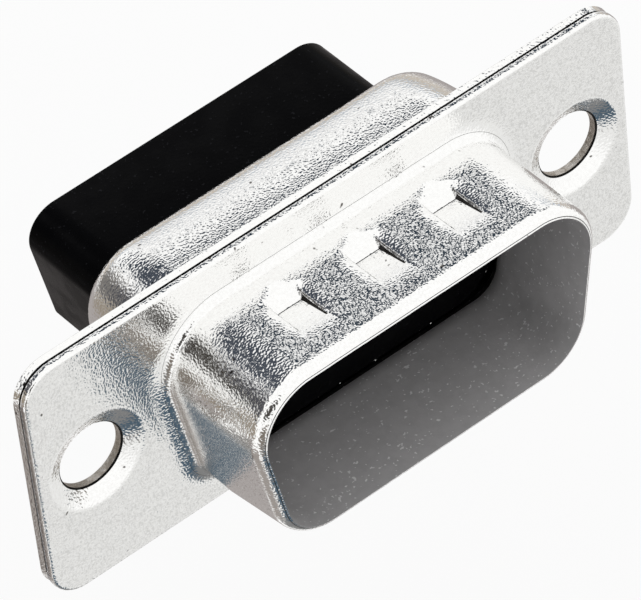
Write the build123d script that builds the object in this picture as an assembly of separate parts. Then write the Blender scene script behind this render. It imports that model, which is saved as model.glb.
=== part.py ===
from build123d import *
import os
from dataclasses import dataclass
from math import cos, radians, sin, sqrt, tan

# Nine-way D-sub plug housing for crimp contacts, empty: two pressed steel shells hold one moulded insulator.
# Frame: X along the flange, -Y out of the hood's mouth, +Z towards the wide side of the D.
# Origin: middle of the flange's front face, on the line through the two mounting holes.
# Lengths are in millimetres, angles in degrees.

# Sheet and fits
SHEET = 0.4
FIT = 0.05

# Flange, the same outline on both shells, and its two mounting holes
FLANGE_LENGTH = 30.8
FLANGE_HEIGHT = 12.5
FLANGE_CORNER_RADIUS = 1.6
HOLE_DIAMETER = 3.05
DISH_WIDTH = 0.825
HOLE_TO_END = 1.38
HOLE_TO_CUP_BEND = 0.655
EDGE_TO_CUP_BEND = 0.205

# Hood, drawn out to the front
SIDE_SLOPE = 10.0
HOOD_TOP_RADIUS = 2.47
HOOD_BOTTOM_RADIUS = 2.3
HOOD_DEPTH = 5.84
HOOD_RIM_RADIUS = 0.6
HOOD_ROOT_RADIUS = 1.0

# Grounding dents in the hood's wide wall
DENT_PITCH = 4.0
DENT_FROM_SIDE = 4.3
DENT_FROM_FLANGE = 2.17
DENT_DEPTH = 0.41
DENT_CREASE_LENGTH = 1.24
DENT_FRONT_RUN = 2.0
DENT_REAR_RUN = 1.1
DENT_SIDE_RUN = 0.15

# Cup, drawn out to the rear, and the insulator's collar in it
COLLAR_STEP = 0.695
COLLAR_TOP_RADIUS = 2.6
COLLAR_BOTTOM_RADIUS = 2.2
CUP_DEPTH = 4.2
CUP_SHOULDER_RADIUS = 1.2
CUP_ROOT_RADIUS = 0.8

# Insulator's face and block, with the contact cavities: a wide row above a narrow one
FACE_PROUD = 0.3
BLOCK_REACH = 5.1
BLOCK_TOP_RADIUS = 1.47
BLOCK_BOTTOM_RADIUS = 0.44
BLOCK_SIDE_WALL = 1.195
BLOCK_TOP_WALL = 0.53
CONTACT_PITCH = 2.77
CONTACT_FROM_SIDE = 2.8
ROW_SPACING = 2.84
PIN_HOLE_DIAMETER = 1.6
CAVITY_DIAMETER = 2.2
CAVITY_DEPTH = 6.2

# How far a cutting solid runs past the face that it cuts, how many times its depth a dent's wedge
# is carried up, and how near counts as the same place
OVERRUN = 1.0
WEDGE_REACH = 1.5
SAME_PLACE = 0.001


@dataclass(frozen=True)
class DOutline:
    """A D with round corners, wide side up; width is its greatest width."""

    width: float
    height: float
    top_radius: float
    bottom_radius: float

    def grown(self, step):
        """The parallel outline that lies step further out, or further in where step is negative."""
        return DOutline(
            self.width + 2 * step,
            self.height + 2 * step,
            self.top_radius + step,
            self.bottom_radius + step,
        )

    def prism(self, start_y, end_y):
        """The solid with this section from start_y back to end_y."""
        slope = radians(SIDE_SLOPE)
        past_arc = self.top_radius * ((1 + sin(slope)) / cos(slope) - 1)
        half_top = self.width / 2 + past_arc
        half_bottom = half_top - self.height * tan(slope)
        half_height = self.height / 2
        section = Polygon(
            (half_top, half_height),
            (-half_top, half_height),
            (-half_bottom, -half_height),
            (half_bottom, -half_height),
            align=None,
        )
        section = fillet(section.vertices().group_by(Axis.Y)[-1], self.top_radius)
        section = fillet(section.vertices().group_by(Axis.Y)[0], self.bottom_radius)
        return extrude(Plane.XZ.offset(-end_y) * section, amount=end_y - start_y)


# The cup stands clear of the flange's edges and holes, and the hood inside the cup's outline
CUP_TO_HOOD = SHEET + FIT + COLLAR_STEP
HOLE_SPACING = FLANGE_LENGTH - HOLE_DIAMETER - 2 * HOLE_TO_END
HOOD_WIDTH = HOLE_SPACING - HOLE_DIAMETER - 2 * (HOLE_TO_CUP_BEND + CUP_ROOT_RADIUS + CUP_TO_HOOD)
HOOD_HEIGHT = FLANGE_HEIGHT - 2 * (EDGE_TO_CUP_BEND + CUP_ROOT_RADIUS + CUP_TO_HOOD)

# As many dents and contacts as the hood's width has room for
DENT_COUNT = 1 + int((HOOD_WIDTH - 2 * DENT_FROM_SIDE) / DENT_PITCH)
WIDE_ROW_COUNT = 1 + int((HOOD_WIDTH - 2 * CONTACT_FROM_SIDE) / CONTACT_PITCH)
NARROW_ROW_COUNT = WIDE_ROW_COUNT - 1
BLOCK_WIDTH = (WIDE_ROW_COUNT - 1) * CONTACT_PITCH + CAVITY_DIAMETER + 2 * BLOCK_SIDE_WALL
BLOCK_HEIGHT = ROW_SPACING + CAVITY_DIAMETER + 2 * BLOCK_TOP_WALL

HOOD = DOutline(HOOD_WIDTH, HOOD_HEIGHT, HOOD_TOP_RADIUS, HOOD_BOTTOM_RADIUS)
HOOD_OUTSIDE = HOOD.grown(SHEET)
COLLAR = DOutline(
    HOOD_WIDTH + 2 * COLLAR_STEP,
    HOOD_HEIGHT + 2 * COLLAR_STEP,
    COLLAR_TOP_RADIUS,
    COLLAR_BOTTOM_RADIUS,
)
CUP = COLLAR.grown(FIT)
CUP_OUTSIDE = CUP.grown(SHEET)
BLOCK = DOutline(BLOCK_WIDTH, BLOCK_HEIGHT, BLOCK_TOP_RADIUS, BLOCK_BOTTOM_RADIUS)

SEAM_Y = SHEET
FLANGE_BACK_Y = SEAM_Y + SHEET
CUP_END_Y = FLANGE_BACK_Y + CUP_DEPTH
CUP_FLOOR_Y = CUP_END_Y - SHEET
BLOCK_END_Y = CUP_END_Y + BLOCK_REACH


def flat_for_bend(radius):
    """The leg of a 45-degree flat that touches the middle of a bend of this radius."""
    return radius * (2 - sqrt(2))


def edges_on(solid, y, outline):
    """Edges of the solid that lie in the plane at y, on or inside the outline's width and height."""
    found = []
    for edge in solid.edges():
        points = [edge @ 0.0, edge @ 0.5, edge @ 1.0]
        in_plane = all(abs(point.Y - y) < SAME_PLACE for point in points)
        middle = points[1]
        in_width = abs(middle.X) < outline.width / 2 + SAME_PLACE
        in_height = abs(middle.Z) < outline.height / 2 + SAME_PLACE
        if in_plane and in_width and in_height:
            found.append(edge)
    return found


def flange_plate(front_y):
    """One sheet of the flange with its two mounting holes, from front_y back by the sheet's thickness."""
    outline = RectangleRounded(FLANGE_LENGTH, FLANGE_HEIGHT, FLANGE_CORNER_RADIUS)
    holes = GridLocations(HOLE_SPACING, 0, 2, 1) * Circle(HOLE_DIAMETER / 2)
    return extrude(Plane.XZ.offset(-front_y - SHEET) * (outline - holes), amount=SHEET)


def hole_dishes():
    """The cones round the mounting holes in the front sheet, from its face down to the seam."""
    hole_radius = HOLE_DIAMETER / 2
    cone = Cone(hole_radius, hole_radius + DISH_WIDTH, SHEET, align=(Align.CENTER, Align.CENTER, Align.MAX))
    return Plane.XZ * GridLocations(HOLE_SPACING, 0, 2, 1) * cone


def dent_wedge(surface_z, crease_length):
    """One dent below the surface: a wedge with a crease along X, a long front ramp and steep ends."""
    crease_z = surface_z - DENT_DEPTH
    top_z = crease_z + WEDGE_REACH * DENT_DEPTH
    crease_y = -DENT_FROM_FLANGE
    long_section = Polygon(
        (crease_y, crease_z),
        (crease_y + WEDGE_REACH * DENT_REAR_RUN, top_z),
        (crease_y - WEDGE_REACH * DENT_FRONT_RUN, top_z),
        align=None,
    )
    half_crease = crease_length / 2
    half_top = half_crease + WEDGE_REACH * DENT_SIDE_RUN
    cross_section = Polygon(
        (-half_crease, crease_z),
        (half_crease, crease_z),
        (half_top, top_z),
        (-half_top, top_z),
        align=None,
    )
    ridge = extrude(Plane.YZ * long_section, amount=half_top, both=True)
    slice_across = extrude(Plane.XZ * cross_section, amount=HOOD_DEPTH)
    return ridge & slice_across


def dents(surface_z, crease_length):
    """The row of dents below the surface of the hood's wide wall."""
    return GridLocations(DENT_PITCH, 0, DENT_COUNT, 1) * dent_wedge(surface_z, crease_length)


def front_shell():
    """The flange's front sheet with the hood drawn out of it."""
    hood = HOOD_OUTSIDE.prism(-HOOD_DEPTH, SEAM_Y)
    hood = fillet(edges_on(hood, -HOOD_DEPTH, HOOD_OUTSIDE), HOOD_RIM_RADIUS)
    shell = flange_plate(0) + hood
    shell = fillet(edges_on(shell, 0, HOOD_OUTSIDE), HOOD_ROOT_RADIUS)
    shell -= HOOD.prism(-HOOD_DEPTH - OVERRUN, SEAM_Y + OVERRUN)
    shell = chamfer(edges_on(shell, SEAM_Y, HOOD), flat_for_bend(HOOD_ROOT_RADIUS + SHEET))
    shell -= hole_dishes()
    wall_inside = HOOD_HEIGHT / 2
    shell += dents(wall_inside, DENT_CREASE_LENGTH + 2 * SHEET)
    shell -= dents(wall_inside + SHEET, DENT_CREASE_LENGTH)
    return shell


def rear_shell():
    """The flange's rear sheet with the cup drawn out of it, open round the insulator's block."""
    cup = CUP_OUTSIDE.prism(SEAM_Y, CUP_END_Y)
    cup = fillet(edges_on(cup, CUP_END_Y, CUP_OUTSIDE), CUP_SHOULDER_RADIUS)
    shell = flange_plate(SEAM_Y) + cup
    shell = fillet(edges_on(shell, FLANGE_BACK_Y, CUP_OUTSIDE), CUP_ROOT_RADIUS)
    hollow = CUP.prism(SEAM_Y - OVERRUN, CUP_FLOOR_Y)
    hollow = chamfer(edges_on(hollow, CUP_FLOOR_Y, CUP), flat_for_bend(CUP_SHOULDER_RADIUS - SHEET))
    shell -= hollow
    shell = chamfer(edges_on(shell, SEAM_Y, CUP), flat_for_bend(CUP_ROOT_RADIUS + SHEET))
    shell -= BLOCK.grown(FIT).prism(SEAM_Y, CUP_END_Y + OVERRUN)
    return shell


def cavity():
    """One contact cavity along Y: a pin hole in front and a wider chamber behind."""
    length = BLOCK_END_Y + FACE_PROUD
    step = length - CAVITY_DEPTH
    pin_radius = PIN_HOLE_DIAMETER / 2
    chamber_radius = CAVITY_DIAMETER / 2
    half_section = Polygon(
        (0, -OVERRUN),
        (pin_radius, -OVERRUN),
        (pin_radius, step),
        (chamber_radius, step),
        (chamber_radius, length + OVERRUN),
        (0, length + OVERRUN),
        align=None,
    )
    return Pos(0, -FACE_PROUD, 0) * revolve(half_section, axis=Axis.Y)


def cavities():
    """All contact cavities, the wide row nearer the wide side of the D."""
    wide_row = Pos(0, 0, ROW_SPACING / 2) * GridLocations(CONTACT_PITCH, 0, WIDE_ROW_COUNT, 1)
    narrow_row = Pos(0, 0, -ROW_SPACING / 2) * GridLocations(CONTACT_PITCH, 0, NARROW_ROW_COUNT, 1)
    return wide_row * cavity() + narrow_row * cavity()


def insulator():
    """The moulding: a face inside the hood, a collar that the cup holds and a block out to the rear."""
    face = HOOD.grown(-FIT).prism(-FACE_PROUD, SEAM_Y)
    collar = COLLAR.prism(SEAM_Y, CUP_FLOOR_Y)
    collar = chamfer(edges_on(collar, CUP_FLOOR_Y, COLLAR), flat_for_bend(CUP_SHOULDER_RADIUS - SHEET))
    block = BLOCK.prism(SEAM_Y, BLOCK_END_Y)
    return face + collar + block - cavities()


def main():
    os.makedirs("parts", exist_ok=True)
    pieces = {
        "front_shell": front_shell(),
        "rear_shell": rear_shell(),
        "insulator": insulator(),
    }
    for name, piece in pieces.items():
        export_step(piece, os.path.join("parts", name + ".step"))


main()
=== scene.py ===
"""Looks of an empty nine-way D-sub plug housing: two tin-plated shells round a black moulding.

Sizes in the classes are millimetres in the part's frame: X along the flange, -Y out of the hood's
mouth, +Z towards the wide side of the D. Meshes, nodes and the camera are in metres.
"""

import logging
import math
from dataclasses import dataclass, replace
from enum import Enum
from typing import Any, Callable, Iterable, Sequence

import bmesh
import bpy
from mathutils import Matrix, Vector
from mathutils.geometry import tessellate_polygon

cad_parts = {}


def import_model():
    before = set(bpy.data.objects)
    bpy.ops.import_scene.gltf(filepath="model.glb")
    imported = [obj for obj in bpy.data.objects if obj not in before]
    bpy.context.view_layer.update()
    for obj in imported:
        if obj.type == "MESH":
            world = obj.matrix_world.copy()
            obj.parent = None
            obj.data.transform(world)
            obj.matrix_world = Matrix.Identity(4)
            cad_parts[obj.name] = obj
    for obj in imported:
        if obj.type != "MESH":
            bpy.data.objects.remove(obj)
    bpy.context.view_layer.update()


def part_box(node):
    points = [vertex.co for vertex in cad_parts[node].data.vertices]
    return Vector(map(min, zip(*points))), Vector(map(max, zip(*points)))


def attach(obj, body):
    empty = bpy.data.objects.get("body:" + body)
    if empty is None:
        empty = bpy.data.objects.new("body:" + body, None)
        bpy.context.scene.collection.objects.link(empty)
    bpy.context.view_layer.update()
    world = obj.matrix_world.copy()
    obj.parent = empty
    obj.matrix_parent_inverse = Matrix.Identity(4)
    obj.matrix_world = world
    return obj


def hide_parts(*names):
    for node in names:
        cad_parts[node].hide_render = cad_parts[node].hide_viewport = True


LOG = logging.getLogger("connector")
MM = 0.001
BODY = "root"

# Faces that meet at more than this angle show a crisp edge
SHARP_ANGLE = math.radians(38.0)
# Points nearer than this are one point, and an edge shorter than the next value is dropped, in metres
SAME_POINT = 2e-6
SHORT_EDGE = 2e-7

# Places of the two colours and of the result among a mix node's sockets
MIX_FIRST = 6
MIX_SECOND = 7
MIX_RESULT = 2

# Octaves of the noise in the grain, patches and specks of a finish, and how much each finer one counts
GRAIN_DETAIL = 0.0
PATCH_DETAIL = 3.0
SPECK_DETAIL = 1.0
NOISE_ROUGHNESS = 0.55
# Where a patch starts and is full, and how far past its threshold a speck is full
PATCH_EDGES = (0.35, 0.65)
SPECK_EDGE = 0.05

ARC_SEGMENTS = 18
SIDE_SEGMENTS = 5
BOTTOM_SEGMENTS = 14
CORNER_SEGMENTS = 10
BEND_SEGMENTS = 10
EDGE_SEGMENTS = 4
HOLE_SEGMENTS = 72
CAVITY_SEGMENTS = 32

Profile = list[tuple[float, float]]


class Surface(Enum):
    """What a face of a piece is made of; the value is its place among the piece's materials. The inside's
    grey and the seam's near black are painted shade.
    """

    SKIN = 0
    # The hood's inside: tin plate darkened with painted shade
    INSIDE = 1
    CUT_EDGE = 2
    # Near black painted shade for gaps, folds and fine lines
    SEAM = 3


def arc(
    centre: tuple[float, float], radius: float, start: float, end: float, count: int, stretch: float = 1.0
) -> Profile:
    """Points along an arc of a circle or an ellipse in a plane.

    Args:
        centre: middle of the arc.
        radius: half-axis along the first coordinate.
        start: angle of the first point, in degrees.
        end: angle of the last point, in degrees.
        count: number of segments.
        stretch: how many times longer the other half-axis is.

    Returns:
        count + 1 points, both ends included.
    """
    points = []
    for index in range(count + 1):
        angle = math.radians(start + (end - start) * index / count)
        across, along = radius * math.cos(angle), radius * stretch * math.sin(angle)
        points.append((centre[0] + across, centre[1] + along))
    return points


def spread(start: float, end: float, step: float) -> list[float]:
    """Evenly spaced values from start to end, no further apart than step.

    Args:
        start: first value.
        end: last value.
        step: greatest distance between neighbours.

    Returns:
        The values, both ends included.
    """
    count = max(1, math.ceil(abs(end - start) / step))
    return [start + (end - start) * index / count for index in range(count + 1)]


def soft_min(first: float, second: float, blend: float) -> float:
    """The lesser of two values, with the corner between them rounded over the blend."""
    overlap = max(blend - abs(first - second), 0.0) / blend
    return min(first, second) - overlap * overlap * blend / 4


def soft_max(first: float, second: float, blend: float) -> float:
    """The greater of two values, with the corner between them rounded over the blend."""
    return -soft_min(-first, -second, blend)


@dataclass(frozen=True)
class DOutline:
    """A D with round corners, wide side up; width is its greatest width."""

    width: float
    height: float
    top_radius: float
    bottom_radius: float
    side_slope: float = 10.0

    def grown(self, step: float) -> "DOutline":
        """The parallel outline that lies step further out."""
        return DOutline(
            self.width + 2 * step,
            self.height + 2 * step,
            self.top_radius + step,
            self.bottom_radius + step,
            self.side_slope,
        )

    def half_straight(self) -> float:
        """Half the length of the straight stretch of the wide side."""
        return self.width / 2 - self.top_radius

    def loop(self, y: float, stations: Sequence[float]) -> list[Vector]:
        """Points of the outline in the plane at y.

        Args:
            y: place of the plane.
            stations: places along the wide side's straight stretch, from 1 at its right end to -1.

        Returns:
            The closed outline, from the wide side's right end round by the left side.
        """
        slope = math.radians(self.side_slope)
        across, down = math.cos(slope), math.sin(slope)
        top = (self.half_straight(), self.height / 2 - self.top_radius)
        side = (top[0] + self.top_radius * across, top[1] - self.top_radius * down)
        low_z = self.bottom_radius - self.height / 2
        low = (side[0] + ((low_z - side[1]) * down - self.bottom_radius) / across, low_z)
        bottom_arc = arc(low, self.bottom_radius, -90, -self.side_slope, ARC_SEGMENTS)
        top_arc = arc(top, self.top_radius, -self.side_slope, 90, ARC_SEGMENTS)
        right = bottom_arc + between(bottom_arc[-1], top_arc[0], SIDE_SEGMENTS) + top_arc
        left = [(-x, z) for x, z in reversed(right)]
        wide = [(station * top[0], self.height / 2) for station in stations[1:-1]]
        narrow = between(left[-1], right[0], BOTTOM_SEGMENTS)
        around = [right[-1]] + wide + left + narrow + right[:-1]
        return [Vector((x, y, z)) for x, z in around]


def between(first: tuple[float, float], last: tuple[float, float], count: int) -> Profile:
    """The points that divide the line from first to last into count segments, ends left out."""
    shares = [index / count for index in range(1, count)]
    return [(first[0] + (last[0] - first[0]) * s, first[1] + (last[1] - first[1]) * s) for s in shares]


def plain_stations(count: int) -> list[float]:
    """Evenly spaced places along a D's wide side, from its right end to its left."""
    return [1 - 2 * index / count for index in range(count + 1)]


def circle(x: float, y: float, z: float, radius: float, count: int) -> list[Vector]:
    """Points of a circle about an axis along Y."""
    return [Vector((x + a, y, z + b)) for a, b in arc((0, 0), radius, 0, 360, count)[:-1]]


class Draft:
    """A mesh in the making: points in millimetres, and faces that each know their surface."""

    def __init__(self) -> None:
        """Starts empty."""
        self.points: list[Vector] = []
        self.faces: list[tuple[int, ...]] = []
        self.surfaces: list[int] = []

    def ring(self, points: Iterable[Vector]) -> list[int]:
        """Adds the points of a closed loop.

        Args:
            points: the points in their order.

        Returns:
            Their numbers in the draft.
        """
        first = len(self.points)
        self.points.extend(points)
        return list(range(first, len(self.points)))

    def face(self, corners: tuple[int, ...], surface: Surface) -> None:
        """Adds one face."""
        self.faces.append(corners)
        self.surfaces.append(surface.value)

    @staticmethod
    def band(first: list[int], second: list[int]) -> list[tuple[int, ...]]:
        """Corners of the four-sided faces between two loops of as many points."""
        return list(zip(first, first[1:] + first[:1], second[1:] + second[:1], second))

    def bridge(self, first: list[int], second: list[int], surface: Surface) -> None:
        """Joins two loops of as many points with a band of faces."""
        for corners in self.band(first, second):
            self.face(corners, surface)

    def skin(self, rings: Sequence[list[int]], surface: Surface) -> None:
        """Joins each loop to the next one."""
        for first, second in zip(rings, rings[1:]):
            self.bridge(first, second, surface)

    def skin_by(self, rings: Sequence[list[int]], choose: Callable[[Vector], Surface]) -> None:
        """Joins each loop to the next one, with the surface chosen by each face's middle.

        Args:
            rings: the loops in their order.
            choose: gives the surface at a place.
        """
        for first, second in zip(rings, rings[1:]):
            for corners in self.band(first, second):
                middle = sum((self.points[number] for number in corners), Vector()) / len(corners)
                self.face(corners, choose(middle))

    def fill(self, loops: Sequence[list[int]], surface: Surface) -> None:
        """Fills a flat face in a plane across Y.

        Args:
            loops: the face's outline, then its holes.
            surface: what the face is made of.
        """
        numbers = [number for loop in loops for number in loop]
        flat = [[Vector((self.points[n].x, self.points[n].z, 0.0)) for n in loop] for loop in loops]
        for corners in tessellate_polygon(flat):
            self.face(tuple(numbers[corner] for corner in corners), surface)

    def mesh(self, name: str) -> bpy.types.Mesh:
        """Makes the mesh, in metres, with its faces pointing outwards.

        Args:
            name: name of the mesh.

        Returns:
            The mesh, shaded smooth with crisp edges.
        """
        mesh = bpy.data.meshes.new(name)
        mesh.from_pydata([point * MM for point in self.points], [], self.faces)
        mesh.polygons.foreach_set("material_index", self.surfaces)
        tidy_mesh(mesh)
        return mesh


def tidy_mesh(mesh: bpy.types.Mesh, *extra: bpy.types.Mesh) -> None:
    """Joins extra meshes to a mesh, merges what coincides, and turns its faces outwards.

    Args:
        mesh: the mesh that is changed.
        extra: meshes that are joined to it.
    """
    work = bmesh.new()
    work.from_mesh(mesh)
    for other in extra:
        work.from_mesh(other)
    bmesh.ops.remove_doubles(work, verts=work.verts, dist=SAME_POINT)
    bmesh.ops.dissolve_degenerate(work, edges=work.edges, dist=SHORT_EDGE)
    bmesh.ops.recalc_face_normals(work, faces=work.faces)
    work.to_mesh(mesh)
    work.free()
    mesh.shade_smooth()
    mesh.set_sharp_from_angle(angle=SHARP_ANGLE)


def place(name: str, mesh: bpy.types.Mesh, materials: Sequence[bpy.types.Material]) -> bpy.types.Object:
    """Puts a mesh into the scene as a piece with its materials.

    Args:
        name: name of the piece.
        mesh: its mesh, with its place in it.
        materials: its materials, in the order of Surface.

    Returns:
        The new object.
    """
    for material in materials:
        mesh.materials.append(material)
    piece = bpy.data.objects.new(name, mesh)
    bpy.context.scene.collection.objects.link(piece)
    return piece


class Bench:
    """A node tree, with short calls that add and join its nodes."""

    def __init__(self, tree: bpy.types.NodeTree) -> None:
        """Works on that tree."""
        self.tree = tree

    def add(self, kind: str, **settings: Any) -> bpy.types.Node:
        """Adds a node.

        Args:
            kind: its type name.
            settings: values of its properties.

        Returns:
            The new node.
        """
        node = self.tree.nodes.new(kind)
        for name, value in settings.items():
            setattr(node, name, value)
        return node

    def feed(self, target: bpy.types.NodeSocket, value: Any) -> None:
        """Links a socket to the target, or sets the target to a plain value.

        Args:
            target: the input socket.
            value: an output socket or a plain value.
        """
        if isinstance(value, bpy.types.NodeSocket):
            self.tree.links.new(value, target)
        else:
            target.default_value = value

    def maths(self, operation: str, *values: Any) -> bpy.types.NodeSocket:
        """Adds a math node.

        Args:
            operation: what it works out.
            values: sockets or numbers that it takes.

        Returns:
            Its result.
        """
        node = self.add("ShaderNodeMath", operation=operation)
        for target, value in zip(node.inputs, values):
            self.feed(target, value)
        return node.outputs[0]

    def dot(self, first: Any, second: Any) -> bpy.types.NodeSocket:
        """Adds a dot product.

        Args:
            first: a socket or a vector.
            second: a socket or a vector.

        Returns:
            The product.
        """
        node = self.add("ShaderNodeVectorMath", operation="DOT_PRODUCT")
        self.feed(node.inputs[0], first)
        self.feed(node.inputs[1], second)
        return node.outputs["Value"]

    def step(self, value: Any, low: Any, high: Any, start: Any = 0.0, end: Any = 1.0) -> bpy.types.NodeSocket:
        """Adds a value that goes smoothly from start to end as the given one goes from low to high.

        Args:
            value: the given value.
            low: where it starts to count.
            high: where it stops counting.
            start: the result up to low.
            end: the result from high on.

        Returns:
            The result.
        """
        node = self.add("ShaderNodeMapRange", interpolation_type="SMOOTHSTEP")
        for target, source in zip(node.inputs, (value, low, high, start, end)):
            self.feed(target, source)
        return node.outputs[0]

    def mix(self, share: Any, first: Any, second: Any) -> bpy.types.NodeSocket:
        """Adds a mix of two colours.

        Args:
            share: how far the mix lies from the first towards the second.
            first: a socket or a colour.
            second: a socket or a colour.

        Returns:
            The mixed colour.
        """
        node = self.add("ShaderNodeMix", data_type="RGBA")
        self.feed(node.inputs["Factor"], share)
        self.feed(node.inputs[MIX_FIRST], first)
        self.feed(node.inputs[MIX_SECOND], second)
        return node.outputs[MIX_RESULT]

    def blend(self, share: Any, first: Any, second: Any) -> bpy.types.NodeSocket:
        """Adds a mix of two shaders.

        Args:
            share: how far the mix lies from the first towards the second.
            first: a shader's socket.
            second: a shader's socket.

        Returns:
            The mixed shader.
        """
        node = self.add("ShaderNodeMixShader")
        for target, source in zip(node.inputs, (share, first, second)):
            self.feed(target, source)
        return node.outputs[0]

    def noise(self, scale: Any, detail: float) -> bpy.types.NodeSocket:
        """Adds noise on the piece's own coordinates.

        Args:
            scale: its scale per metre.
            detail: its number of finer octaves.

        Returns:
            The noise, from 0 to 1.
        """
        place_node = self.add("ShaderNodeTexCoord")
        node = self.add("ShaderNodeTexNoise")
        self.feed(node.inputs["Vector"], place_node.outputs["Object"])
        self.feed(node.inputs["Scale"], scale)
        node.inputs["Detail"].default_value = detail
        node.inputs["Roughness"].default_value = NOISE_ROUGHNESS
        return node.outputs[0]


def new_group(name: str, inputs: dict[str, float], outputs: Sequence[str]) -> tuple[Bench, Any, Any]:
    """Starts a shader node group with number sockets.

    Args:
        name: name of the group.
        inputs: names of the inputs with their defaults.
        outputs: names of the outputs.

    Returns:
        The group's bench, its input node and its output node.
    """
    tree = bpy.data.node_groups.new(name, "ShaderNodeTree")
    for label, value in inputs.items():
        socket = tree.interface.new_socket(label, in_out="INPUT", socket_type="NodeSocketFloat")
        socket.default_value = value
    for label in outputs:
        tree.interface.new_socket(label, in_out="OUTPUT", socket_type="NodeSocketFloat")
    bench = Bench(tree)
    return bench, bench.add("NodeGroupInput"), bench.add("NodeGroupOutput")


def mottle_group() -> bpy.types.NodeTree:
    """Makes the fine mottle of plated and moulded skins.

    Returns:
        The group, with a height for bump and a mask of broad patches.
    """
    bench, given, out = new_group(
        "skin_mottle",
        {"Grain scale": 9000.0, "Patch scale": 900.0, "Patch share": 0.4},
        ("Height", "Patches"),
    )
    grain = bench.noise(given.outputs["Grain scale"], GRAIN_DETAIL)
    patches = bench.noise(given.outputs["Patch scale"], PATCH_DETAIL)
    share = given.outputs["Patch share"]
    rest = bench.maths("SUBTRACT", 1.0, share)
    weighted = bench.maths("MULTIPLY", grain, rest)
    height = bench.maths("MULTIPLY_ADD", patches, share, weighted)
    bench.feed(out.inputs["Height"], height)
    bench.feed(out.inputs["Patches"], bench.step(patches, *PATCH_EDGES))
    return bench.tree


def speck_group() -> bpy.types.NodeTree:
    """Makes small specks and nicks.

    Returns:
        The group, with a mask that is mostly empty.
    """
    bench, given, out = new_group("skin_specks", {"Scale": 4000.0, "Threshold": 0.68}, ("Mask",))
    specks = bench.noise(given.outputs["Scale"], SPECK_DETAIL)
    threshold = given.outputs["Threshold"]
    full = bench.maths("ADD", threshold, SPECK_EDGE)
    bench.feed(out.inputs["Mask"], bench.step(specks, threshold, full))
    return bench.tree


@dataclass(frozen=True)
class Finish:
    """A surface: its colours, gloss, and the scale and depth of its mottle."""

    name: str
    light: tuple[float, float, float, float]
    dark: tuple[float, float, float, float]
    metallic: float
    smooth: float
    rough: float
    grain_scale: float
    patch_scale: float
    patch_share: float
    bump: float
    speck_scale: float = 4000.0
    speck_threshold: float = 0.75
    speck_colour: tuple[float, float, float, float] = (0.9, 0.9, 0.9, 1.0)
    specular: float = 0.5

    def material(self, mottle: bpy.types.NodeTree, specks: bpy.types.NodeTree) -> bpy.types.Material:
        """Makes the material.

        Args:
            mottle: the shared mottle group.
            specks: the shared speck group.

        Returns:
            The material, with its pattern on the piece's own coordinates.
        """
        material = bpy.data.materials.new(self.name)
        material.use_nodes = True
        bench = Bench(material.node_tree)
        shader = material.node_tree.nodes["Principled BSDF"]
        skin = bench.add("ShaderNodeGroup", node_tree=mottle)
        skin.inputs["Grain scale"].default_value = self.grain_scale
        skin.inputs["Patch scale"].default_value = self.patch_scale
        skin.inputs["Patch share"].default_value = self.patch_share
        dots = bench.add("ShaderNodeGroup", node_tree=specks)
        dots.inputs["Scale"].default_value = self.speck_scale
        dots.inputs["Threshold"].default_value = self.speck_threshold
        patches = skin.outputs["Patches"]
        colour = bench.mix(patches, self.dark, self.light)
        bench.feed(shader.inputs["Base Color"], bench.mix(dots.outputs["Mask"], colour, self.speck_colour))
        bench.feed(shader.inputs["Roughness"], bench.step(patches, 0.0, 1.0, self.rough, self.smooth))
        shader.inputs["Metallic"].default_value = self.metallic
        shader.inputs["Specular IOR Level"].default_value = self.specular
        bump = bench.add("ShaderNodeBump")
        bump.inputs["Strength"].default_value = 1.0
        bump.inputs["Distance"].default_value = self.bump * MM
        bench.feed(bump.inputs["Height"], skin.outputs["Height"])
        bench.feed(shader.inputs["Normal"], bump.outputs["Normal"])
        return material


TIN_PLATE = Finish(
    name="tin_plate",
    light=(0.98, 0.98, 0.97, 1.0),
    dark=(0.93, 0.925, 0.915, 1.0),
    metallic=1.0,
    smooth=0.06,
    rough=0.10,
    grain_scale=10500.0,
    patch_scale=9000.0,
    patch_share=0.05,
    bump=0.015,
    speck_scale=2500.0,
    speck_threshold=0.75,
    speck_colour=(0.16, 0.15, 0.14, 1.0),
)
# A darker, duller copy of the tin plate for the hood's inside: its grey is painted shade
HOOD_INSIDE_PAINTED_SHADE = Finish(
    name="tin_plate_inside_painted_shade",
    light=(0.56, 0.55, 0.555, 1.0),
    dark=(0.50, 0.49, 0.495, 1.0),
    metallic=0.4,
    smooth=0.4,
    rough=0.5,
    grain_scale=9000.0,
    patch_scale=1200.0,
    patch_share=0.3,
    bump=0.006,
    speck_scale=6000.0,
    speck_threshold=0.665,
)
CUT_EDGE = Finish(
    name="bare_cut_edge",
    light=(0.70, 0.66, 0.61, 1.0),
    dark=(0.45, 0.41, 0.36, 1.0),
    metallic=1.0,
    smooth=0.4,
    rough=0.6,
    grain_scale=9000.0,
    patch_scale=3000.0,
    patch_share=0.4,
    bump=0.04,
)
# Near black paint for the shade in the gaps between the sheets, the dents' folds, the fine lines at root and
# rim, and the hood's deep bend: painted shade, not a colour of the metal
PAINTED_SHADE_FINISH = Finish(
    name="seam_gap",
    light=(0.03, 0.028, 0.026, 1.0),
    dark=(0.012, 0.011, 0.010, 1.0),
    metallic=0.0,
    smooth=0.6,
    rough=0.8,
    grain_scale=9000.0,
    patch_scale=2500.0,
    patch_share=0.4,
    bump=0.01,
    specular=0.1,
)
BLACK_MOULDING = Finish(
    name="black_moulding",
    light=(0.003, 0.003, 0.0034, 1.0),
    dark=(0.0018, 0.0018, 0.0022, 1.0),
    metallic=0.0,
    smooth=0.2,
    rough=0.3,
    grain_scale=7000.0,
    patch_scale=700.0,
    patch_share=0.3,
    bump=0.004,
    speck_scale=7000.0,
    speck_threshold=0.69,
    speck_colour=(0.012, 0.012, 0.014, 1.0),
    specular=0.02,
)


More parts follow.
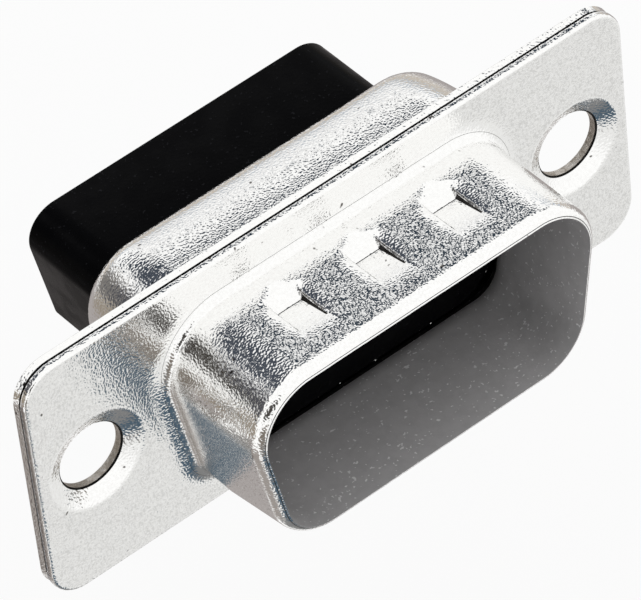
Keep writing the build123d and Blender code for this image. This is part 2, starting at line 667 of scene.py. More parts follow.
@dataclass(frozen=True)
class Flange:
    """The outline that both sheets share, with its two mounting holes.

    The hold is a narrow strip beside a bend or a bevel that keeps the shading of a flat face flat.
    """

    length: float
    height: float
    sheet: float
    corner_radius: float = 1.6
    hole_radius: float = 1.525
    hole_to_end: float = 2.905
    hold: float = 0.08
    die_roll: float = 0.13
    seam_gap: float = 0.075
    hole_gap: float = 0.035
    seam_depth: float = 0.15
    break_y: float = 0.29
    break_width: float = 0.03
    break_depth: float = 0.025
    rear_bevel: float = 0.04
    rear_taper: float = 0.06

    def hole_places(self) -> tuple[float, float]:
        """X of the two holes' axes."""
        reach = self.length / 2 - self.hole_to_end
        return (-reach, reach)

    def outline(self, inset: float, y: float) -> list[Vector]:
        """The flange's outline.

        Args:
            inset: how far it is drawn in.
            y: place of its plane.

        Returns:
            The closed outline, from the right end round by the top.
        """
        radius = self.corner_radius - inset
        half_x = self.length / 2 - self.corner_radius
        half_z = self.height / 2 - self.corner_radius
        corners = ((half_x, half_z), (-half_x, half_z), (-half_x, -half_z), (half_x, -half_z))
        around: Profile = []
        for turn, corner in enumerate(corners):
            around += arc(corner, radius, 90 * turn, 90 * turn + 90, CORNER_SEGMENTS)
        return [Vector((x, y, z)) for x, z in around]

    def break_line(self) -> Profile:
        """Inset and y of the uneven line where the cut sheet broke away from the die."""
        half = self.break_width / 2
        return [
            (0.0, self.break_y - half),
            (self.break_depth, self.break_y),
            (0.0, self.break_y + half),
        ]

    def seam(self, start_y: float, end_y: float) -> Profile:
        """Inset and y of the narrow gap between the two sheets."""
        return [(self.seam_depth, start_y), (self.seam_depth, end_y)]

    def hole_seam(self, start_y: float, end_y: float) -> Profile:
        """Radius and y of the same gap round a hole."""
        return [(self.hole_radius + inset, y) for inset, y in self.seam(start_y, end_y)]

    def edge(self, draft: Draft, profile: Profile) -> list[list[int]]:
        """Adds the flange's outline at each inset and y of a profile and returns the loops."""
        return [draft.ring(self.outline(inset, y)) for inset, y in profile]

    def hole(self, draft: Draft, x: float, profile: Profile) -> list[list[int]]:
        """Adds a circle at each radius and y of a profile, round the hole at x, and returns the loops."""
        return [draft.ring(circle(x, y, 0.0, radius, HOLE_SEGMENTS)) for radius, y in profile]


@dataclass(frozen=True)
class Dents:
    """The row of grounding dents in the hood's wide wall.

    A run is how far a slope reaches from the crease or its ends, a blend is how softly two slopes meet,
    and the halo is the wall round a dent that was drawn in with it.
    """

    count: int = 3
    pitch: float = 4.0
    crease_y: float = -2.17
    depth: float = 0.41
    crease_length: float = 1.24
    front_run: float = 2.0
    rear_run: float = 1.1
    side_run: float = 0.12
    arch: float = 0.4
    foot_blend: float = 0.06
    rim_blend: float = 0.25
    side_blend: float = 1.0
    side_cap: float = 2.0
    merge_power: float = 4.0
    halo_run: float = 0.8
    halo_depth: float = 0.17
    fold_width: float = 0.05
    foot_width: float = 0.1
    fold_reach: float = 0.8
    margin: float = 0.5
    fine_step: float = 0.05
    coarse_step: float = 0.35

    def places(self) -> list[float]:
        """X of each dent's middle, from right to left."""
        middle = (self.count - 1) / 2
        return [(middle - index) * self.pitch for index in range(self.count)]

    def depth_at(self, x: float, y: float, widen: float) -> float:
        """How far the wall is pressed in.

        Args:
            x: place along the wall.
            y: place along the hood.
            widen: how much longer each end of the crease is, as on the wall's inner face.

        Returns:
            The depth below the wall's plain face.
        """
        off = min(abs(x - place_x) for place_x in self.places())
        half = self.crease_length / 2 + widen
        arched = self.rear_run * (1 - self.arch * min(off / half, 1.0) ** 2)
        run = self.front_run if y < self.crease_y else arched
        ahead = abs(y - self.crease_y)
        along = soft_max(0.0, 1 - ahead / run, self.rim_blend)
        beside = soft_max(0.0, min(1 + (half - off) / self.side_run, self.side_cap), self.side_blend)
        pressed = self.depth * min(soft_min(along, beside, self.foot_blend), 1.0)
        near = max(1 - max(off - half, 0.0) / self.halo_run, 0.0)
        dragged = self.halo_depth * near * near * max(1 - (ahead / run) ** 2, 0.0)
        power = self.merge_power
        return min((pressed**power + dragged**power) ** (1 / power), self.depth)

    def folded(self, x: float, y: float) -> bool:
        """Whether a place lies in the tight fold of a crease, or along the foot of its right side, where the
        hood's outside is painted with shade.

        Args:
            x: place along the wall.
            y: place along the hood.

        Returns:
            True in a fold.
        """
        half = self.crease_length / 2
        off = min((x - place_x for place_x in self.places()), key=abs)
        in_crease = abs(off) < half and 0 < self.crease_y - y < self.fold_width
        reach = self.fold_reach * self.front_run
        at_foot = 0 < off - half < self.foot_width and 0 < self.crease_y - y < reach
        return in_crease or at_foot

    def stations(self, half_straight: float, widen: float) -> list[float]:
        """Places along the wide side, close together where a dent is.

        Args:
            half_straight: half the length of the wide side's straight stretch.
            widen: how much longer each end of the crease is on the wall's inner face.

        Returns:
            Shares of half_straight, from 1 at the right end to -1 at the left.
        """
        reach = self.crease_length / 2 + self.side_run + widen + self.margin
        marks = [half_straight]
        for place_x in self.places():
            marks += spread(marks[-1], place_x + reach, self.coarse_step)[1:]
            marks += spread(place_x + reach, place_x - reach, self.fine_step)[1:]
        marks += spread(marks[-1], -half_straight, self.coarse_step)[1:]
        return [mark / half_straight for mark in marks]

    def rings(self, start_y: float, end_y: float) -> list[float]:
        """Places of the loops along the wall, close together where the dents are.

        Args:
            start_y: end of the wall at the flange.
            end_y: end of the wall at the rim.

        Returns:
            Y of each loop after the first, with one at the crease.
        """
        front = self.crease_y - self.front_run * (1 + self.rim_blend)
        marks = spread(start_y, self.crease_y, self.fine_step)[1:]
        marks += spread(self.crease_y, front, self.fine_step)[1:]
        return marks + spread(front, end_y, self.coarse_step)[1:]


@dataclass(frozen=True)
class FrontShell:
    """The flange's front sheet with the hood drawn out of it."""

    flange: Flange
    hood: DOutline
    dents: Dents = Dents()
    depth: float = 5.84
    rim_radius: float = 0.6
    rim_line: tuple[float, float] = (-61.0, -64.0)
    root_radius: float = 1.0
    root_stretch: float = 0.45
    root_segments: int = 12
    corner_taper: float = 1.2
    taper_run: float = 3.2
    dish_width: float = 0.825
    dish_blend: float = 0.12
    dish_step: float = 0.25
    witness_angle: float = 131.8
    witness_width: float = 1.0
    shade_y: float = -0.35

    def ring(self, draft: Draft, step: float, y: float, widen: float) -> list[int]:
        """Adds the hood's outline with the dents pressed in.

        The corners of the narrow side are rounder towards the mouth.

        Args:
            draft: the mesh in the making.
            step: how far the outline lies from the hood's inside.
            y: place of its plane.
            widen: how much longer each end of a dent's crease is.

        Returns:
            The loop.
        """
        stations = self.dents.stations(self.hood.half_straight(), self.flange.sheet)
        share = min(max((y + self.depth - self.rim_radius) / self.taper_run, 0.0), 1.0)
        tapered = replace(self.hood, bottom_radius=self.hood.bottom_radius - self.corner_taper * share)
        points = tapered.grown(step).loop(y, stations)
        for point in points[: len(stations)]:
            point.z -= self.dents.depth_at(point.x, y, widen)
        return draft.ring(points)

    def root(self) -> tuple[Profile, Profile]:
        """The bend from the flange up to the hood, parted by the fine line that the die leaves.

        Returns:
            Step and y of the points below that line, then of those above it.
        """
        radius, stretch = self.root_radius, self.root_stretch
        middle = radius + self.flange.sheet
        centre = (middle, -radius * stretch)
        line, half = self.witness_angle, self.witness_width / 2
        below = arc(centre, radius, 90, line - half, BEND_SEGMENTS, stretch)
        above = arc(centre, radius, line + half, 180, self.root_segments, stretch)
        return [(middle + self.flange.hold, 0.0)] + below, above

    def hood_surface(self, place_on: Vector) -> Surface:
        """The surface of the hood's outside at a place: painted shade, near black, in the dents' tight folds
        and along the feet of their right sides.
        """
        dented = place_on.z > 0 and self.dents.folded(place_on.x, place_on.y)
        return Surface.SEAM if dented else Surface.SKIN

    def dish(self) -> Profile:
        """The dish round a hole, with a soft upper edge.

        Returns:
            Radius and y, from the flange's face down to the seam.
        """
        flange = self.flange
        outer = flange.hole_radius + self.dish_width
        fall = flange.sheet / self.dish_width
        blend = self.dish_blend
        profile = [(outer + blend + flange.hold, 0.0)]
        for share in spread(-1, 1, self.dish_step):
            profile.append((outer - blend * share, fall * blend * (share + 1) ** 2 / 4))
        lip = flange.hole_radius + flange.hole_gap / fall
        profile.append((lip, flange.sheet - flange.hole_gap))
        return profile

    def rings(self, draft: Draft, profile: Profile, widen: float = 0.0) -> list[list[int]]:
        """Adds the hood's outline at each step and y of a profile."""
        return [self.ring(draft, step, y, widen) for step, y in profile]

    def draw_outside(self, draft: Draft) -> tuple[list[int], list[int]]:
        """Adds the hood's outside, from the flange up its root and along its wall to the rim.

        Args:
            draft: the mesh in the making.

        Returns:
            The first loop, on the flange's face, and the last, on the rim's inner edge.
        """
        sheet, radius = self.flange.sheet, self.rim_radius
        rim_y = radius - self.depth
        below, above = (self.rings(draft, side) for side in self.root())
        draft.skin(below, Surface.SKIN)
        # The die's fine line across the root is painted near black, as shade
        draft.bridge(below[-1], above[0], Surface.SEAM)
        root_end = -self.root_radius * self.root_stretch
        wall = [(sheet, y) for y in self.dents.rings(root_end, rim_y)]
        rim_centre = (sheet - radius, rim_y)
        line_start, line_end = self.rim_line
        rim = arc(rim_centre, radius, 0, line_start, BEND_SEGMENTS)[1:]
        outer = above + self.rings(draft, wall + rim)
        rim_end = -math.degrees(math.acos((radius - sheet) / radius))
        lip = self.rings(draft, arc(rim_centre, radius, line_end, rim_end, EDGE_SEGMENTS))
        # The dents' folds and feet are painted near black, as shade
        draft.skin_by(outer, self.hood_surface)
        # The fine line on the rim is painted near black, as shade
        draft.bridge(outer[-1], lip[0], Surface.SEAM)
        draft.skin(lip, Surface.SKIN)
        return below[0], lip[-1]

    def draw_inside(self, draft: Draft, lip: list[int]) -> list[int]:
        """Adds the hood's inside, from the rim to the seam behind the flange.

        Args:
            draft: the mesh in the making.
            lip: the loop on the rim's inner edge.

        Returns:
            The last loop, at the seam.
        """
        sheet = self.flange.sheet
        wall_places = self.dents.rings(-self.root_radius, self.rim_radius - self.depth)
        wall = [(0.0, y) for y in reversed(wall_places)]
        radius = self.root_radius + sheet
        bend = arc((radius, -self.root_radius), radius, 180, 90, BEND_SEGMENTS)
        lit = [(step, y) for step, y in bend if y < self.shade_y]
        shaded = [(step, y) for step, y in bend if y >= self.shade_y]
        inner = [lip] + self.rings(draft, wall + lit, sheet)
        bend_rings = inner[-1:] + self.rings(draft, shaded, sheet)
        # The inside's duller grey is painted shade, and the bend beyond shade_y is painted near black as
        # shade
        draft.skin(inner, Surface.INSIDE)
        draft.skin(bend_rings, Surface.SEAM)
        return bend_rings[-1]

    def draw_edge(self, draft: Draft) -> tuple[list[int], list[int]]:
        """Adds the sheet's outer edge, rolled over by the die in front and broken away behind.

        Args:
            draft: the mesh in the making.

        Returns:
            The first loop, on the front face, and the last, at the seam.
        """
        flange, roll = self.flange, self.flange.die_roll
        gap_y = flange.sheet - flange.seam_gap
        rolled = arc((roll, roll), roll, -90, -180, EDGE_SEGMENTS)
        profile = [(roll + flange.hold, 0.0)] + rolled + flange.break_line() + [(0.0, gap_y)]
        edge = flange.edge(draft, profile)
        draft.skin(edge, Surface.SKIN)
        # The narrow gap between the sheets is painted near black, as shade
        seam = edge[-1:] + flange.edge(draft, flange.seam(gap_y, flange.sheet))
        draft.skin(seam, Surface.SEAM)
        return edge[0], seam[-1]

    def draw_hole(self, draft: Draft, x: float) -> tuple[list[int], list[int]]:
        """Adds a hole with its dish.

        Args:
            draft: the mesh in the making.
            x: place of the hole's axis.

        Returns:
            The first loop, on the front face, and the last, at the seam.
        """
        flange = self.flange
        dish = flange.hole(draft, x, self.dish())
        draft.skin(dish, Surface.SKIN)
        # The gap round the hole is painted near black, as shade
        gap = flange.hole(draft, x, flange.hole_seam(flange.sheet - flange.hole_gap, flange.sheet))
        draft.skin(dish[-1:] + gap, Surface.SEAM)
        return dish[0], gap[-1]

    def draw(self, draft: Draft) -> None:
        """Adds the shell's faces.

        Args:
            draft: the mesh in the making.
        """
        root, lip = self.draw_outside(draft)
        bend_end = self.draw_inside(draft, lip)
        edge, seam = self.draw_edge(draft)
        holes = [self.draw_hole(draft, x) for x in self.flange.hole_places()]
        draft.fill([edge, root] + [front for front, _ in holes], Surface.SKIN)
        draft.fill([seam, bend_end] + [back for _, back in holes], Surface.SKIN)


@dataclass(frozen=True)
class RearShell:
    """The flange's rear sheet with the cup drawn out of it, open round the insulator's block."""

    flange: Flange
    cup: DOutline
    lip: DOutline
    end_y: float
    shoulder_radius: float = 1.2
    root_radius: float = 0.8
    root_stretch: float = 0.9
    crown_angle: float = 12.0
    lip_bevel: float = 0.06
    station_count: int = 60

    def ring(self, draft: Draft, outline: DOutline, y: float) -> list[int]:
        """Adds an outline at y."""
        return draft.ring(outline.loop(y, plain_stations(self.station_count)))

    def cup_rings(self, draft: Draft, profile: Profile) -> list[list[int]]:
        """Adds the cup's outline at each step from its inside and y of a profile."""
        return [self.ring(draft, self.cup.grown(step), y) for step, y in profile]

    def outside(self) -> Profile:
        """The cup's outside: the bend at the flange, a slight crown and the shoulder.

        Returns:
            Step from the cup's inside and y, from the flange to the cup's end.
        """
        sheet, hold = self.flange.sheet, self.flange.hold
        back_y, round_off = 2 * sheet, self.shoulder_radius
        reach = self.root_radius * self.root_stretch
        root = (self.root_radius + sheet, back_y + reach)
        lean = math.radians(self.crown_angle)
        crown_end = self.end_y - round_off * (1 - math.sin(lean))
        crown_radius = (crown_end - root[1]) / math.sin(lean)
        crown = (sheet - crown_radius, root[1])
        shoulder = (crown[0] + (crown_radius - round_off) * math.cos(lean), self.end_y - round_off)
        profile = [(root[0] + hold, back_y)]
        profile += arc(root, self.root_radius, 270, 180, BEND_SEGMENTS, self.root_stretch)
        profile += arc(crown, crown_radius, 0, self.crown_angle, BEND_SEGMENTS)[1:]
        profile += arc(shoulder, round_off, self.crown_angle, 90, BEND_SEGMENTS)[1:]
        return profile + [(shoulder[0] - hold, self.end_y)]

    def back_edge(self) -> Profile:
        """Inset and y of the small bevel between the cut edge and the flange's back."""
        back_y, bevel = 2 * self.flange.sheet, self.flange.rear_bevel
        return [(0.0, back_y - bevel), (bevel, back_y)]

    def draw_cup(self, draft: Draft) -> tuple[list[int], list[int]]:
        """Adds the cup: its outside, its lip round the insulator's block and its inside.

        Args:
            draft: the mesh in the making.

        Returns:
            The first loop, on the flange's back, and the last, at the seam.
        """
        sheet, end_y, bevel = self.flange.sheet, self.end_y, self.lip_bevel
        outer = self.cup_rings(draft, self.outside())
        lip = [(bevel + self.flange.hold, end_y), (bevel, end_y), (0.0, end_y - bevel), (0.0, end_y - sheet)]
        lip_rings = [self.ring(draft, self.lip.grown(step), y) for step, y in lip]
        draft.skin(outer + lip_rings[:-1], Surface.SKIN)
        draft.skin(lip_rings[-2:], Surface.CUT_EDGE)
        root = (self.root_radius + sheet, 2 * sheet + self.root_radius)
        shoulder = (sheet - self.shoulder_radius, end_y - self.shoulder_radius)
        inside = arc(shoulder, self.shoulder_radius - sheet, 90, 0, BEND_SEGMENTS)
        inside += arc(root, self.root_radius + sheet, 180, 270, BEND_SEGMENTS)
        inner = lip_rings[-1:] + self.cup_rings(draft, inside)
        draft.skin(inner, Surface.SKIN)
        return outer[0], inner[-1]

    def draw_edge(self, draft: Draft) -> tuple[list[int], list[int]]:
        """Adds the sheet's outer edge, which tapers towards the seam.

        Args:
            draft: the mesh in the making.

        Returns:
            The first loop, at the seam, and the last, on the flange's back.
        """
        flange, seam_y = self.flange, self.flange.sheet
        gap_y = seam_y + flange.seam_gap
        seam = flange.edge(draft, flange.seam(seam_y, gap_y))
        flat = (flange.rear_bevel + flange.hold, 2 * flange.sheet)
        edge = flange.edge(draft, [(flange.rear_taper, gap_y)] + self.back_edge() + [flat])
        # The narrow gap between the sheets is painted near black, as shade
        draft.skin(seam + edge[:1], Surface.SEAM)
        draft.skin(edge, Surface.SKIN)
        return seam[0], edge[-1]

    def draw_hole(self, draft: Draft, x: float) -> tuple[list[int], list[int]]:
        """Adds a hole.

        Args:
            draft: the mesh in the making.
            x: place of the hole's axis.

        Returns:
            The first loop, at the seam, and the last, on the flange's back.
        """
        flange, seam_y = self.flange, self.flange.sheet
        gap_y = seam_y + flange.hole_gap
        gap = flange.hole(draft, x, flange.hole_seam(seam_y, gap_y))
        cut = [(0.0, gap_y)] + self.back_edge()
        wall = flange.hole(draft, x, [(flange.hole_radius + inset, y) for inset, y in cut])
        # The gap round the hole is painted near black, as shade
        draft.skin(gap + wall[:1], Surface.SEAM)
        draft.skin(wall, Surface.CUT_EDGE)
        return gap[0], wall[-1]

    def draw(self, draft: Draft) -> None:
        """Adds the shell's faces.

        Args:
            draft: the mesh in the making.
        """
        root, inner = self.draw_cup(draft)
        seam, edge = self.draw_edge(draft)
        holes = [self.draw_hole(draft, x) for x in self.flange.hole_places()]
        draft.fill([seam, inner] + [front for front, _ in holes], Surface.SKIN)
        draft.fill([edge, root] + [back for _, back in holes], Surface.SKIN)


@dataclass(frozen=True)
class Insulator:
    """The black moulding: a face in the hood, a collar in the cup, a block behind, and its cavities."""

    face: DOutline
    collar: DOutline
    block: DOutline
    front_y: float
    seam_y: float
    floor_y: float
    end_y: float
    pitch: float = 2.77
    row_spacing: float = 2.84
    wide_count: int = 5
    narrow_count: int = 4
    pin_radius: float = 0.8
    cavity_radius: float = 1.1
    cavity_depth: float = 6.2
    pin_bevel: float = 0.08
    lead_in: float = 0.18
    face_bevel: float = 0.06
    collar_flat: float = 0.47
    edge_radius: float = 0.14
    station_count: int = 40

    def cavity_places(self) -> list[tuple[float, float]]:
        """Where the cavities are.

        Returns:
            X and Z of each cavity's axis.
        """
        places = []
        for count, z in ((self.wide_count, self.row_spacing / 2), (self.narrow_count, -self.row_spacing / 2)):
            places += [((index - (count - 1) / 2) * self.pitch, z) for index in range(count)]
        return places

    def liner(self) -> bpy.types.Mesh:
        """One cavity about the Y axis, from the pin hole in the face to the lead-in at the rear.

        Returns:
            Its wall as an open mesh.
        """
        step_y = self.end_y - self.cavity_depth
        profile = [
            (self.pin_radius + self.pin_bevel, self.front_y),
            (self.pin_radius, self.front_y + self.pin_bevel),
            (self.pin_radius, step_y),
            (self.cavity_radius, step_y),
            (self.cavity_radius, self.end_y - self.lead_in),
            (self.cavity_radius + self.lead_in, self.end_y),
        ]
        draft = Draft()
        rings = [draft.ring(circle(0.0, y, 0.0, radius, CAVITY_SEGMENTS)) for radius, y in profile]
        draft.skin(rings, Surface.SKIN)
        return draft.mesh("cavity_liner")

    def cavities(self, material: bpy.types.Material) -> bpy.types.Mesh:
        """All cavities, repeated by geometry nodes from one liner.

        Args:
            material: the moulding's material.

        Returns:
            Their walls as one plain mesh.
        """
        tool = bpy.data.objects.new("cavity_rows", self.liner())
        bpy.context.scene.collection.objects.link(tool)
        values = {
            "Pitch": self.pitch * MM,
            "Row spacing": self.row_spacing * MM,
            "Wide count": self.wide_count,
            "Narrow count": self.narrow_count,
            "Finish": material,
        }
        modifier = tool.modifiers.new("rows", "NODES")
        modifier.node_group = cavity_rows_tree()
        for item in modifier.node_group.interface.items_tree:
            if item.in_out == "INPUT" and item.name in values:
                modifier[item.identifier] = values[item.name]
        evaluated = tool.evaluated_get(bpy.context.evaluated_depsgraph_get())
        rows = bpy.data.meshes.new_from_object(evaluated)
        tool.modifiers.remove(modifier)
        bpy.data.objects.remove(tool)
        return rows

    def draw(self, draft: Draft) -> None:
        """Adds the moulding's outer faces, with round openings where the cavities come out.

        Args:
            draft: the mesh in the making.
        """
        stations = plain_stations(self.station_count)
        bevel, flat, radius = self.face_bevel, self.collar_flat, self.edge_radius
        corner = arc((-radius, self.end_y - radius), radius, 0, 90, EDGE_SEGMENTS)
        sections = [
            (self.face, [(-bevel, self.front_y), (0.0, self.front_y + bevel), (0.0, self.seam_y)]),
            (self.collar, [(0.0, self.seam_y), (0.0, self.floor_y - flat), (-flat, self.floor_y)]),
            (self.block, [(0.0, self.floor_y)] + corner),
        ]
        rings = []
        for outline, profile in sections:
            rings += [draft.ring(outline.grown(step).loop(y, stations)) for step, y in profile]
        draft.skin(rings, Surface.SKIN)
        ends = (
            (rings[0], self.front_y, self.pin_radius + self.pin_bevel),
            (rings[-1], self.end_y, self.cavity_radius + self.lead_in),
        )
        for ring, y, opening in ends:
            holes = [
                draft.ring(circle(x, y, z, opening, CAVITY_SEGMENTS)) for x, z in self.cavity_places()
            ]
            draft.fill([ring] + holes, Surface.SKIN)


def cavity_rows_tree() -> bpy.types.NodeTree:
    """Geometry nodes that repeat one cavity in a wide row above a narrow one.

    Returns:
        The node group.
    """
    tree = bpy.data.node_groups.new("cavity_rows", "GeometryNodeTree")
    inputs = {
        "Cavity": "NodeSocketGeometry",
        "Pitch": "NodeSocketFloat",
        "Row spacing": "NodeSocketFloat",
        "Wide count": "NodeSocketInt",
        "Narrow count": "NodeSocketInt",
        "Finish": "NodeSocketMaterial",
    }
    for label, kind in inputs.items():
        tree.interface.new_socket(label, in_out="INPUT", socket_type=kind)
    tree.interface.new_socket("Cavities", in_out="OUTPUT", socket_type="NodeSocketGeometry")
    bench = Bench(tree)
    given = bench.add("NodeGroupInput")
    joined = bench.add("GeometryNodeJoinGeometry")
    step = bench.add("ShaderNodeCombineXYZ")
    bench.feed(step.inputs["X"], given.outputs["Pitch"])
    for label, side in (("Wide count", 0.5), ("Narrow count", -0.5)):
        gaps = bench.maths("SUBTRACT", given.outputs[label], 1.0)
        length = bench.maths("MULTIPLY", gaps, given.outputs["Pitch"])
        first = bench.add("ShaderNodeCombineXYZ")
        bench.feed(first.inputs["X"], bench.maths("MULTIPLY", length, -0.5))
        bench.feed(first.inputs["Z"], bench.maths("MULTIPLY", given.outputs["Row spacing"], side))
        row = bench.add("GeometryNodeMeshLine")
        bench.feed(row.inputs["Count"], given.outputs[label])
        bench.feed(row.inputs["Start Location"], first.outputs[0])
        bench.feed(row.inputs["Offset"], step.outputs[0])
        copies = bench.add("GeometryNodeInstanceOnPoints")
        bench.feed(copies.inputs["Points"], row.outputs[0])
        bench.feed(copies.inputs["Instance"], given.outputs["Cavity"])
        bench.feed(joined.inputs[0], copies.outputs[0])
    real = bench.add("GeometryNodeRealizeInstances")
    bench.feed(real.inputs[0], joined.outputs[0])
    painted = bench.add("GeometryNodeSetMaterial")
    bench.feed(painted.inputs["Geometry"], real.outputs[0])
    bench.feed(painted.inputs["Material"], given.outputs["Finish"])
    bench.feed(bench.add("NodeGroupOutput").inputs[0], painted.outputs[0])
    return tree


def seat(piece: bpy.types.Object, node: str) -> bpy.types.Object:
    """Makes a piece ride with the part in the place of a solid, hides that solid and logs the piece's face
    count.

    Args:
        piece: the piece.
        node: the solid that it stands for.

    Returns:
        The same piece.
    """
    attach(piece, BODY)
    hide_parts(node)
    LOG.info("%s: %d faces", piece.name, len(piece.data.polygons))
    return piece


@dataclass(frozen=True)
class Connector:
    """The whole housing: its outlines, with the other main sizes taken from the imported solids."""

    hood: DOutline = DOutline(16.74, 8.2, 2.47, 2.3)
    block: DOutline = DOutline(15.67, 6.1, 1.47, 0.44)
    collar_step: float = 0.695
    collar_radii: tuple[float, float] = (2.6, 2.2)
    fit: float = 0.05

    def parts(self) -> tuple[FrontShell, RearShell, Insulator]:
        """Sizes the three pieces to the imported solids.

        Returns:
            The front shell, the rear shell and the insulator.
        """
        front_low, front_high = (Vector(corner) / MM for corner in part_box("front_shell"))
        rear_high = Vector(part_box("rear_shell")[1]) / MM
        moulding_low, moulding_high = (Vector(corner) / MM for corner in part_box("insulator"))
        size = front_high - front_low
        sheet = front_high.y
        flange = Flange(length=size.x, height=size.z, sheet=sheet)
        wider = 2 * self.collar_step
        collar = DOutline(self.hood.width + wider, self.hood.height + wider, *self.collar_radii)
        cup, lip = collar.grown(self.fit), self.block.grown(self.fit)
        insulator = Insulator(
            face=self.hood.grown(-self.fit),
            collar=collar,
            block=self.block,
            front_y=moulding_low.y,
            seam_y=sheet,
            floor_y=rear_high.y - sheet,
            end_y=moulding_high.y,
        )
        return FrontShell(flange, self.hood), RearShell(flange, cup, lip, rear_high.y), insulator

    def build(self) -> list[bpy.types.Object]:
        """Builds and dresses the three pieces.

        Returns:
            The pieces, each riding in the place of its solid.
        """
        mottle, specks = mottle_group(), speck_group()
        finishes = (TIN_PLATE, HOOD_INSIDE_PAINTED_SHADE, CUT_EDGE, PAINTED_SHADE_FINISH)
        plated = [finish.material(mottle, specks) for finish in finishes]
        black = BLACK_MOULDING.material(mottle, specks)
        front_shell, rear_shell, insulator = self.parts()
        pieces = []
        for node, shell in (("front_shell", front_shell), ("rear_shell", rear_shell)):
            draft = Draft()
            shell.draw(draft)
            pieces.append(seat(place(node + "_dressed", draft.mesh(node), plated), node))
        draft = Draft()
        insulator.draw(draft)
        mesh = draft.mesh("insulator")
        tidy_mesh(mesh, insulator.cavities(black))
        pieces.append(seat(place("insulator_dressed", mesh, [black]), "insulator"))
        return pieces


@dataclass(frozen=True)
class Panel:
    """A soft-edged patch of the studio's walls, by its direction, half sizes in degrees and light.

    The azimuth is 0 behind the part, along +Y, and 90 on its right.
    """

    azimuth: float
    elevation: float
    half_width: float
    half_height: float
    light: tuple[float, float, float]
    softness: float = 0.35

    def axes(self) -> tuple[Vector, Vector, Vector]:
        """How the panel lies in the studio.

        Returns:
            The directions to its middle, along its width and along its height.
        """
        turn, rise = math.radians(self.azimuth), math.radians(self.elevation)
        centre = Vector((math.sin(turn) * math.cos(rise), math.cos(turn) * math.cos(rise), math.sin(rise)))
        across = Vector((math.cos(turn), -math.sin(turn), 0.0))
        return centre, across, across.cross(centre)


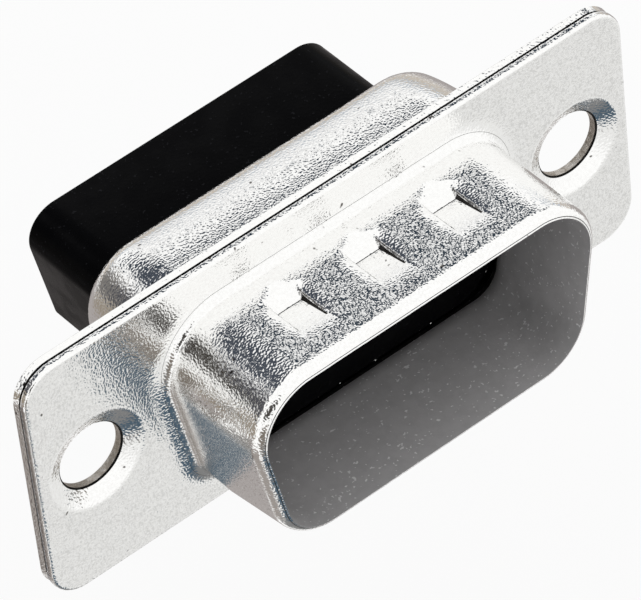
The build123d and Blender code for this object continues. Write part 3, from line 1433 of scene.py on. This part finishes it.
@dataclass(frozen=True)
class Studio:
    """Soft studio light from all round, a pale floor and the camera."""

    tent: tuple[float, float, float] = (1.03, 1.03, 1.025)
    floor_depth: float = 26.0
    floor_size: float = 900.0
    floor_paper: tuple[float, float, float, float] = (0.98, 0.98, 0.98, 1.0)
    floor_glow: float = 0.85
    camera_azimuth: float = -35.0965
    camera_elevation: float = 44.9114
    camera_roll: float = -6.7410
    camera_distance: float = 259.784
    camera_shift: tuple[float, float] = (-0.78576, 0.05441)
    focal_pixels: float = 6488.355
    image_width: float = 641.0
    sensor_width: float = 36.0
    camera_clip: tuple[float, float] = (10.0, 10000.0)
    panel_horizon: float = 0.05
    panels: tuple[Panel, ...] = (
        Panel(10.0, -38.0, 75.0, 26.0, (0.40, 0.37, 0.36), 0.25),
        Panel(30.0, 15.0, 50.0, 4.0, (0.46, 0.50, 0.55), 0.4),
        Panel(30.0, 2.0, 55.0, 9.0, (0.56, 0.51, 0.45), 0.3),
        Panel(-27.0, 10.0, 14.0, 16.0, (0.20, 0.19, 0.18), 0.4),
        Panel(27.0, 24.0, 14.0, 5.0, (0.80, 0.80, 0.80), 0.4),
        Panel(150.0, -50.0, 45.0, 30.0, (0.83, 0.83, 0.82), 0.4),
        Panel(146.0, -45.0, 16.0, 3.5, (0.66, 0.66, 0.65), 0.2),
        Panel(314.0, -44.0, 13.0, 11.0, (0.15, 0.13, 0.12), 0.3),
        Panel(280.0, -54.0, 20.0, 18.0, (0.34, 0.31, 0.29), 0.3),
        Panel(219.0, -38.0, 14.0, 9.0, (0.20, 0.19, 0.18), 0.3),
        Panel(190.0, -61.0, 18.0, 13.5, (0.07, 0.11, 0.15), 0.15),
        Panel(230.0, -17.0, 18.0, 13.0, (0.20, 0.175, 0.15), 0.35),
        Panel(180.0, -84.0, 20.0, 18.0, (0.22, 0.22, 0.22), 0.4),
        Panel(232.0, 24.0, 18.0, 14.0, (0.06, 0.055, 0.05), 0.25),
        Panel(30.0, 45.5, 36.0, 5.5, (0.025, 0.04, 0.06), 0.12),
        Panel(-16.0, 51.0, 24.0, 9.0, (0.06, 0.07, 0.09), 0.3),
        Panel(-54.0, 20.0, 18.0, 17.0, (0.08, 0.08, 0.09)),
        Panel(-55.0, -12.0, 25.0, 10.0, (0.30, 0.26, 0.21), 0.4),
        Panel(-54.0, 2.0, 13.0, 5.0, (0.30, 0.26, 0.21), 0.4),
    )

    def panel_mask(self, bench: Bench, direction: bpy.types.NodeSocket, panel: Panel) -> bpy.types.NodeSocket:
        """Adds how much of a panel shows in a direction.

        Args:
            bench: the world's bench.
            direction: the direction.
            panel: the panel.

        Returns:
            The share, from 0 to 1.
        """
        centre, across, upward = panel.axes()
        ahead = bench.dot(direction, centre)
        mask = bench.maths("GREATER_THAN", ahead, self.panel_horizon)
        for axis, half in ((across, panel.half_width), (upward, panel.half_height)):
            off = bench.maths("ABSOLUTE", bench.maths("DIVIDE", bench.dot(direction, axis), ahead))
            edge = math.tan(math.radians(half))
            inner, outer = edge * (1 - panel.softness), edge * (1 + panel.softness)
            mask = bench.maths("MULTIPLY", mask, bench.step(off, inner, outer, 1.0, 0.0))
        return mask

    def light(self) -> None:
        """Makes the world: white to the camera, and a white tent with its gaps to everything else."""
        world = bpy.data.worlds.new("studio")
        bpy.context.scene.world = world
        world.use_nodes = True
        tree = world.node_tree
        tree.nodes.clear()
        bench = Bench(tree)
        direction = bench.add("ShaderNodeTexCoord").outputs["Generated"]
        glow: Any = (*self.tent, 1.0)
        for panel in self.panels:
            glow = bench.mix(self.panel_mask(bench, direction, panel), glow, (*panel.light, 1.0))
        room = bench.add("ShaderNodeBackground")
        bench.feed(room.inputs["Color"], glow)
        white = bench.add("ShaderNodeBackground")
        white.inputs["Color"].default_value = (1.0, 1.0, 1.0, 1.0)
        seen = bench.add("ShaderNodeLightPath").outputs["Is Camera Ray"]
        shown = bench.blend(seen, room.outputs[0], white.outputs[0])
        bench.feed(bench.add("ShaderNodeOutputWorld").inputs["Surface"], shown)

    def floor(self) -> bpy.types.Object:
        """Makes the pale floor below the part, seen from above only.

        Returns:
            The floor.
        """
        half = self.floor_size / 2
        corners = ((-half, -half), (half, -half), (half, half), (-half, half))
        mesh = bpy.data.meshes.new("floor")
        mesh.from_pydata([Vector((x, y, -self.floor_depth)) * MM for x, y in corners], [], [(0, 1, 2, 3)])
        floor = place("floor", mesh, [self.floor_material()])
        floor.visible_glossy = False
        return floor

    def floor_material(self) -> bpy.types.Material:
        """White paper that keeps a faint shadow.

        Returns:
            The material, clear from behind.
        """
        material = bpy.data.materials.new("pale_floor")
        material.use_nodes = True
        tree = material.node_tree
        tree.nodes.clear()
        bench = Bench(tree)
        paper = bench.add("ShaderNodeBsdfDiffuse")
        paper.inputs["Color"].default_value = self.floor_paper
        glow = bench.add("ShaderNodeEmission")
        glow.inputs["Strength"].default_value = 1.0
        seen = bench.add("ShaderNodeLightPath").outputs["Is Camera Ray"]
        share = bench.maths("MULTIPLY", seen, self.floor_glow)
        bare = bench.blend(share, paper.outputs[0], glow.outputs[0])
        behind = bench.add("ShaderNodeNewGeometry").outputs["Backfacing"]
        clear = bench.add("ShaderNodeBsdfTransparent").outputs[0]
        shown = bench.blend(behind, bare, clear)
        bench.feed(bench.add("ShaderNodeOutputMaterial").inputs["Surface"], shown)
        return material

    def camera(self) -> bpy.types.Object:
        """Makes the scene's camera at the photograph's viewing angle.

        Returns:
            The camera.
        """
        turn, rise = math.radians(self.camera_azimuth), math.radians(self.camera_elevation)
        roll = math.radians(self.camera_roll)
        back = Vector((math.sin(turn) * math.cos(rise), -math.cos(turn) * math.cos(rise), math.sin(rise)))
        level = Vector((math.cos(turn), math.sin(turn), 0.0))
        upright = back.cross(level)
        right = math.cos(roll) * level + math.sin(roll) * upright
        upward = math.cos(roll) * upright - math.sin(roll) * level
        data = bpy.data.cameras.new("camera")
        data.sensor_fit = "HORIZONTAL"
        data.sensor_width = self.sensor_width
        data.lens = self.focal_pixels * self.sensor_width / self.image_width
        data.clip_start, data.clip_end = (reach * MM for reach in self.camera_clip)
        camera = bpy.data.objects.new("camera", data)
        bpy.context.scene.collection.objects.link(camera)
        spot = back * self.camera_distance + right * self.camera_shift[0] + upward * self.camera_shift[1]
        turned = Matrix((right, upward, back)).transposed().to_4x4()
        camera.matrix_world = Matrix.Translation(spot * MM) @ turned
        bpy.context.scene.camera = camera
        return camera


def main() -> None:
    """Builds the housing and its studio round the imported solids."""
    logging.basicConfig(level=logging.INFO, format="%(name)s: %(message)s")
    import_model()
    bpy.context.scene.view_settings.view_transform = "Standard"
    pieces = Connector().build()
    LOG.info("%d pieces dressed", len(pieces))
    studio = Studio()
    studio.light()
    studio.floor()
    studio.camera()


if __name__ == "__main__":
    main()
